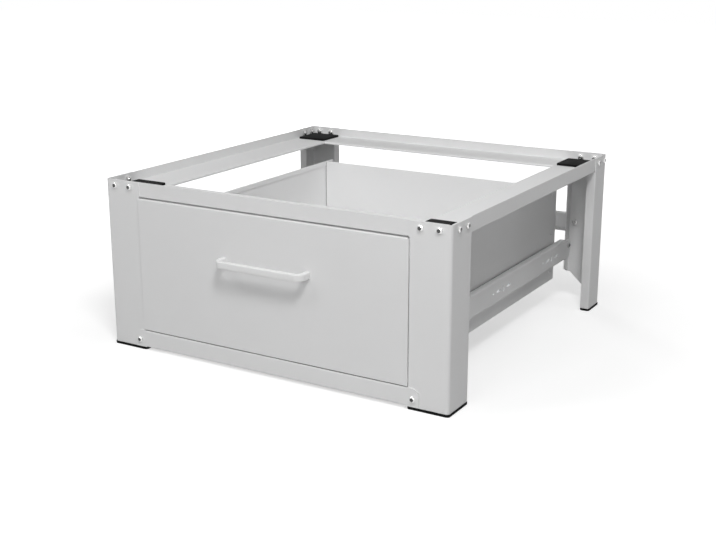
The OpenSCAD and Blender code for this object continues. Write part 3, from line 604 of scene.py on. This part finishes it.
def rivet_shop(material):
    """Blind rivet: domed head with a bore and a broken pin, and a domed tail."""
    shop = Shop("blind_rivet", ["Head width", "Head", "Tail width", "Tail"], material)
    width = shop.size("Head width")
    head = shop.dome(width, shop.size("Head"))
    bore = shop.prism(PIN_SIDES, 0.14 * width, RIVET_BORE_TOOL, RIVET_BORE_FLOOR)
    pin = shop.prism(PIN_SIDES, 0.12 * width, RIVET_PIN, RIVET_PIN_FOOT)
    heads = shop.stand_on_seats(shop.together(shop.cut(head, bore), pin))
    tail = shop.dome(shop.size("Tail width"), shop.size("Tail"))
    tails = shop.stand_on_seats(tail, shop.reach() - shop.size("Tail"))
    shop.finish(shop.together(heads, tails))
    return shop


def crossed_slot(shop, top, width, depth):
    """The two tools for the crossed slot of a screw's head, which narrows downwards."""
    arm = shop.cone(0.5 * width, width, 2.0 * depth, top - depth, sides=4)
    return [shop.moved(arm, scale=(1.0, SLOT_NARROWNESS, 1.0)),
            shop.moved(arm, scale=(SLOT_NARROWNESS, 1.0, 1.0))]


def sunk_screw_shop(material):
    """Countersunk screw that is flush with the sheet."""
    shop = Shop("sunk_screw", ["Thread", "Width", "Head"], material)
    thread = shop.size("Thread")
    width = shop.size("Width")
    deep = shop.size("Head")
    head = shop.cone(0.5 * thread, 0.5 * width, deep)
    head = shop.cut(head, *crossed_slot(shop, deep, SLOT_WIDTH * width, 0.6 * deep))
    ends = shop.threaded_ends(thread, SUNK_THREADED_END, SCREW_PITCH)
    shop.finish(shop.together(shop.stand_on_seats(head), ends))
    return shop


def pan_screw_shop(material):
    """Screw with a low round head and a crossed slot."""
    shop = Shop("pan_screw", ["Thread", "Width", "Head"], material)
    thread = shop.size("Thread")
    width = shop.size("Width")
    tall = shop.size("Head")
    rim = shop.prism(HEAD_SIDES, 0.5 * width, tall)
    round_top = shop.dome(1.16 * width, tall)
    head = shop.shared(rim, round_top)
    head = shop.cut(head, *crossed_slot(shop, tall, SLOT_WIDTH * width, 0.55 * tall))
    ends = shop.threaded_ends(thread, PAN_THREADED_END, SCREW_PITCH)
    shop.finish(shop.together(shop.stand_on_seats(head), ends))
    return shop


def stud_shop(material):
    """Threaded stud, welded to the back of the drawer front."""
    shop = Shop("weld_stud", ["Thread"], material)
    shop.finish(shop.threaded_ends(shop.size("Thread"), STUD_THREADED_END, SCREW_PITCH))
    return shop


def stands_for(piece, body, node):
    """The piece moves with this body and takes the place of this CAD node."""
    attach(piece, body)
    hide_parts(node)


def fasteners(name, node, body, shop, values, slender, head):
    """Stands for a CAD node of like fasteners."""
    seats = [fastener_seat(points, slender, head) for points in solids_of(node)]
    piece = shop.build(name, seats_mesh(name, seats), values)
    stands_for(piece, body, node)


def handle_shop(material):
    """Flat bar with rounded edges along a path with two bends."""
    shop = Shop("bent_bar", ["Bend", "Bar", "Height", "Edge"], material)
    path = shop.add("GeometryNodeMeshToCurve", {}, {"Mesh": shop.given.also("Geometry")})
    path = shop.add(
        "GeometryNodeFilletCurve", {"mode": "POLY"},
        {"Curve": path, "Radius": shop.size("Bend"), "Limit Radius": True,
         "Count": BEND_STEPS})
    section = shop.add("GeometryNodeCurvePrimitiveQuadrilateral", {"mode": "RECTANGLE"},
                       {"Width": shop.size("Bar"), "Height": shop.size("Height")})
    section = shop.add("GeometryNodeFilletCurve", {"mode": "POLY"},
                       {"Curve": section, "Radius": shop.size("Edge"), "Count": EDGE_STEPS})
    bar = shop.add("GeometryNodeCurveToMesh", {},
                   {"Curve": path, "Profile Curve": section, "Fill Caps": True})
    shop.finish(bar)
    return shop


def drawer_handle(material):
    """Bar handle, along a path through the middle of the bar."""
    low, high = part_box("drawer_handle")
    half_bar = HANDLE_BAR / 2
    left = low.x + half_bar
    right = high.x - half_bar
    front = low.y + half_bar
    z = (low.z + high.z) / 2
    path = bpy.data.meshes.new("handle_path")
    path.from_pydata(
        [(left, high.y, z), (left, front, z), (right, front, z), (right, high.y, z)],
        [(0, 1), (1, 2), (2, 3)], [])
    values = {"Bend": HANDLE_BEND - half_bar, "Bar": HANDLE_BAR, "Height": high.z - low.z,
              "Edge": HANDLE_EDGE}
    piece = handle_shop(material).build("handle_bar", path, values, HANDLE_CREASE)
    stands_for(piece, "drawer", "drawer_handle")


def rounded_pad(name, node, material):
    """Square rubber pad with round corners and a soft upper edge."""
    low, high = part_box(node)
    levels = [(0, low.z), (0, high.z - PAD_EDGE), (0.3, high.z - 0.3 * PAD_EDGE), (1, high.z)]
    quarter = math.tau / 4
    points = []
    for sink, z in levels:
        radius = PAD_CORNER - sink * PAD_EDGE
        for corner in range(4):
            x = high.x - PAD_CORNER if corner in (0, 3) else low.x + PAD_CORNER
            y = high.y - PAD_CORNER if corner in (0, 1) else low.y + PAD_CORNER
            for step in range(PAD_CORNER_STEPS + 1):
                angle = quarter * (corner + step / PAD_CORNER_STEPS)
                points.append((x + radius * math.cos(angle), y + radius * math.sin(angle), z))
    count = len(points) // len(levels)
    faces = [tuple(range(count))[::-1]]
    for start in range(0, len(points) - count, count):
        for k in range(count):
            near = start + k
            far = start + (k + 1) % count
            faces.append((near, far, far + count, near + count))
    faces.append(tuple(range(len(points) - count, len(points))))
    mesh = bpy.data.meshes.new(name)
    mesh.from_pydata(points, [], faces)
    mesh.materials.append(material)
    crease(mesh, PAD_CREASE)
    stands_for(mesh_object(name, mesh), "frame", node)


def tight_drawer_front(coat):
    """Drawer front whose long folds are drawn in to crisp corners.

    Each point on a fold's arc moves away from the arc's centre, towards the square around it.
    """
    low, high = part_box("drawer_front")
    shape = bmesh.new()
    shape.from_mesh(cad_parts["drawer_front"].data)
    bmesh.ops.remove_doubles(shape, verts=shape.verts, dist=WELD)
    for vertex in shape.verts:
        forwards = FRONT_FOLD - (vertex.co.y - low.y)
        for edge, way in ((high.z, 1), (low.z, -1)):
            sideways = FRONT_FOLD - way * (edge - vertex.co.z)
            if forwards > 0 and sideways > 0:
                growth = math.hypot(forwards, sideways) / max(forwards, sideways) - 1
                vertex.co.y -= FRONT_TIGHTNESS * growth * forwards
                vertex.co.z += way * FRONT_TIGHTNESS * growth * sideways
    mesh = bpy.data.meshes.new("crisp_front_panel")
    shape.to_mesh(mesh)
    shape.free()
    mesh.materials.append(coat)
    crease(mesh, FRONT_CREASE)
    stands_for(mesh_object("crisp_front_panel", mesh), "drawer", "drawer_front")


# ---- Studio ----


def seen_directly(plan):
    """1 for what the camera sees, also by way of gloss and glass, and 0 for other light."""
    ray = plan.add("ShaderNodeLightPath", output="Is Camera Ray")
    return ray + ray.also("Is Glossy Ray") + ray.also("Is Transmission Ray")


def studio_floor(size):
    """Plain pale floor that reads white where no shadow falls on it."""
    floor = Finish("studio_floor")
    away = floor.add("ShaderNodeVectorMath", {"operation": "LENGTH"}, {0: floor.place}, output=1)
    far = floor.add(
        "ShaderNodeMapRange", {"clamp": True},
        {"Value": away, "From Min": GLOW_GROWS_FROM, "From Max": GLOW_GROWS_TO,
         "To Min": 0.0, "To Max": 1.0})
    strength = seen_directly(floor) * (FLOOR_GLOW + (1 - FLOOR_GLOW) * far)
    glow = floor.add("ShaderNodeEmission", {}, {"Color": WHITE, "Strength": strength})
    matt = floor.add("ShaderNodeBsdfDiffuse", {}, {"Color": FLOOR_GREY})
    both = floor.add("ShaderNodeAddShader", {}, {0: matt, 1: glow})
    floor.add("ShaderNodeOutputMaterial", {}, {"Surface": both})
    half = size / 2
    mesh = bpy.data.meshes.new("studio_floor")
    mesh.from_pydata(
        [(-half, -half, 0), (half, -half, 0), (half, half, 0), (-half, half, 0)], [],
        [(0, 1, 2, 3)])
    mesh.materials.append(floor.material)
    mesh_object("studio_floor", mesh)


def studio_world(level):
    """White to the camera and in reflections, and a plain level of light on everything."""
    world = bpy.data.worlds.new("studio")
    bpy.context.scene.world = world
    world.use_nodes = True
    world.node_tree.nodes.clear()
    plan = Plan(world.node_tree)
    strength = level + (1 - level) * seen_directly(plan)
    light = plan.add("ShaderNodeBackground", {}, {"Color": WHITE, "Strength": strength})
    plan.add("ShaderNodeOutputWorld", {}, {"Surface": light})


def lamp(name, place, size, watts):
    """Square softbox that faces the object; one that stands behind it gives no glare."""
    light = bpy.data.lights.new(name, "AREA")
    light.shape = "SQUARE"
    light.size = size
    light.energy = watts
    box = bpy.data.objects.new(name, light)
    bpy.context.scene.collection.objects.link(box)
    box.location = place
    box.visible_glossy = place[1] < REAR_LAMPS_FROM
    box.rotation_euler = (LAMP_TARGET - Vector(place)).to_track_quat("-Z", "Y").to_euler()


def turned(degrees, axis):
    return Matrix.Rotation(math.radians(degrees), 4, axis)


def camera(place, tilt, heading, roll, lens):
    """Camera at the photograph's viewing angle."""
    view = bpy.data.cameras.new("camera")
    view.lens = lens
    view.sensor_width = CAMERA_SENSOR
    eye = bpy.data.objects.new("camera", view)
    bpy.context.scene.collection.objects.link(eye)
    turn = turned(heading, "Z") @ turned(tilt, "X") @ turned(roll, "Z")
    eye.matrix_world = Matrix.Translation(place) @ turn
    bpy.context.scene.camera = eye


# ---- The object ----

camera(CAMERA_PLACE, CAMERA_TILT, CAMERA_HEADING, CAMERA_ROLL, CAMERA_LENS)

paint = powder_coat("powder_coat", pale=0.0)
# Painted light: the drawer box gets a paler copy of the same coat, for the brighter light inside
# the drawer.
lit_box_paint = powder_coat("drawer_box_coat", pale=0.07)
enamel = handle_enamel()
bright_steel = polished_steel()
zinc = zinc_plate()
balls = ball_steel()
rubber = black_rubber()

for node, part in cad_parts.items():
    in_box = node.startswith("drawer_") and node != "drawer_front"
    finishes = {"frame_paint": lit_box_paint if in_box else paint,
                "bolt_steel": bright_steel,
                "slide_steel": balls if node.endswith("slide_balls") else zinc,
                "rubber": rubber}
    for place in part.material_slots:
        place.material = finishes[place.material.name.split(".")[0]]

bolts = bolt_shop(bright_steel)
bolt_sizes = {"Thread": BOLT_THREAD, "Width": BOLT_ACROSS_FLATS, "Head": BOLT_HEAD}
for group in ("top_frame", "kick_rail", "cross_brace", "runner_rail"):
    fasteners(group + "_hexagon_bolts", group + "_bolts", "frame", bolts, bolt_sizes,
              slender=True, head=BOLT_HEAD)

nuts = nut_shop(bright_steel)
for group, body, thread, width in (
        ("top_frame", "frame", BOLT_THREAD, BOLT_ACROSS_FLATS),
        ("kick_rail", "frame", BOLT_THREAD, BOLT_ACROSS_FLATS),
        ("cross_brace", "frame", BOLT_THREAD, BOLT_ACROSS_FLATS),
        ("runner_rail", "frame", BOLT_THREAD, BOLT_ACROSS_FLATS),
        ("runner_front", "frame", SCREW_THREAD, SCREW_ACROSS_FLATS),
        ("front_panel", "drawer", SCREW_THREAD, SCREW_ACROSS_FLATS)):
    node = group + "_nuts"
    nut = solids_of(node)[0]
    height = min(max(point[k] for point in nut) - min(point[k] for point in nut)
                 for k in range(3))
    sizes = {"Thread": thread, "Width": width, "Height": height}
    fasteners(group + "_hexagon_nuts", node, body, nuts, sizes, slender=False, head=height)

screw_sizes = {"Thread": SCREW_THREAD, "Width": SCREW_HEAD_WIDTH, "Head": SUNK_HEAD}
fasteners("runner_front_sunk_screws", "runner_front_screws", "frame", sunk_screw_shop(zinc),
          screw_sizes, slender=True, head=SUNK_HEAD)
fasteners("handle_pan_screws", "handle_screws", "drawer", pan_screw_shop(zinc),
          screw_sizes | {"Head": PAN_HEAD}, slender=True, head=PAN_HEAD)
fasteners("front_panel_weld_studs", "front_panel_studs", "drawer", stud_shop(zinc),
          {"Thread": SCREW_THREAD}, slender=True, head=0.0)

rivet_sizes = {"Head width": RIVET_HEAD_WIDTH, "Head": RIVET_HEAD,
               "Tail width": RIVET_TAIL_WIDTH, "Tail": RIVET_TAIL}
for group, body, coat in (
        ("slide_rail", "frame", zinc),
        ("slide_drawer", "drawer", zinc),
        ("drawer_box", "drawer", lit_box_paint)):
    fasteners(group + "_blind_rivets", group + "_rivets", body, rivet_shop(coat), rivet_sizes,
              slender=False, head=RIVET_HEAD)

drawer_handle(enamel)
tight_drawer_front(paint)
for end in ("front", "rear"):
    for side in ("left", "right"):
        rounded_pad(end + "_" + side + "_rubber_pad", end + "_" + side + "_pad", rubber)

studio_floor(FLOOR_SIZE)
studio_world(WORLD_LEVEL)
for name, place, size, watts in LAMPS:
    lamp(name, place, size, watts)
bpy.context.scene.view_settings.view_transform = "Standard"
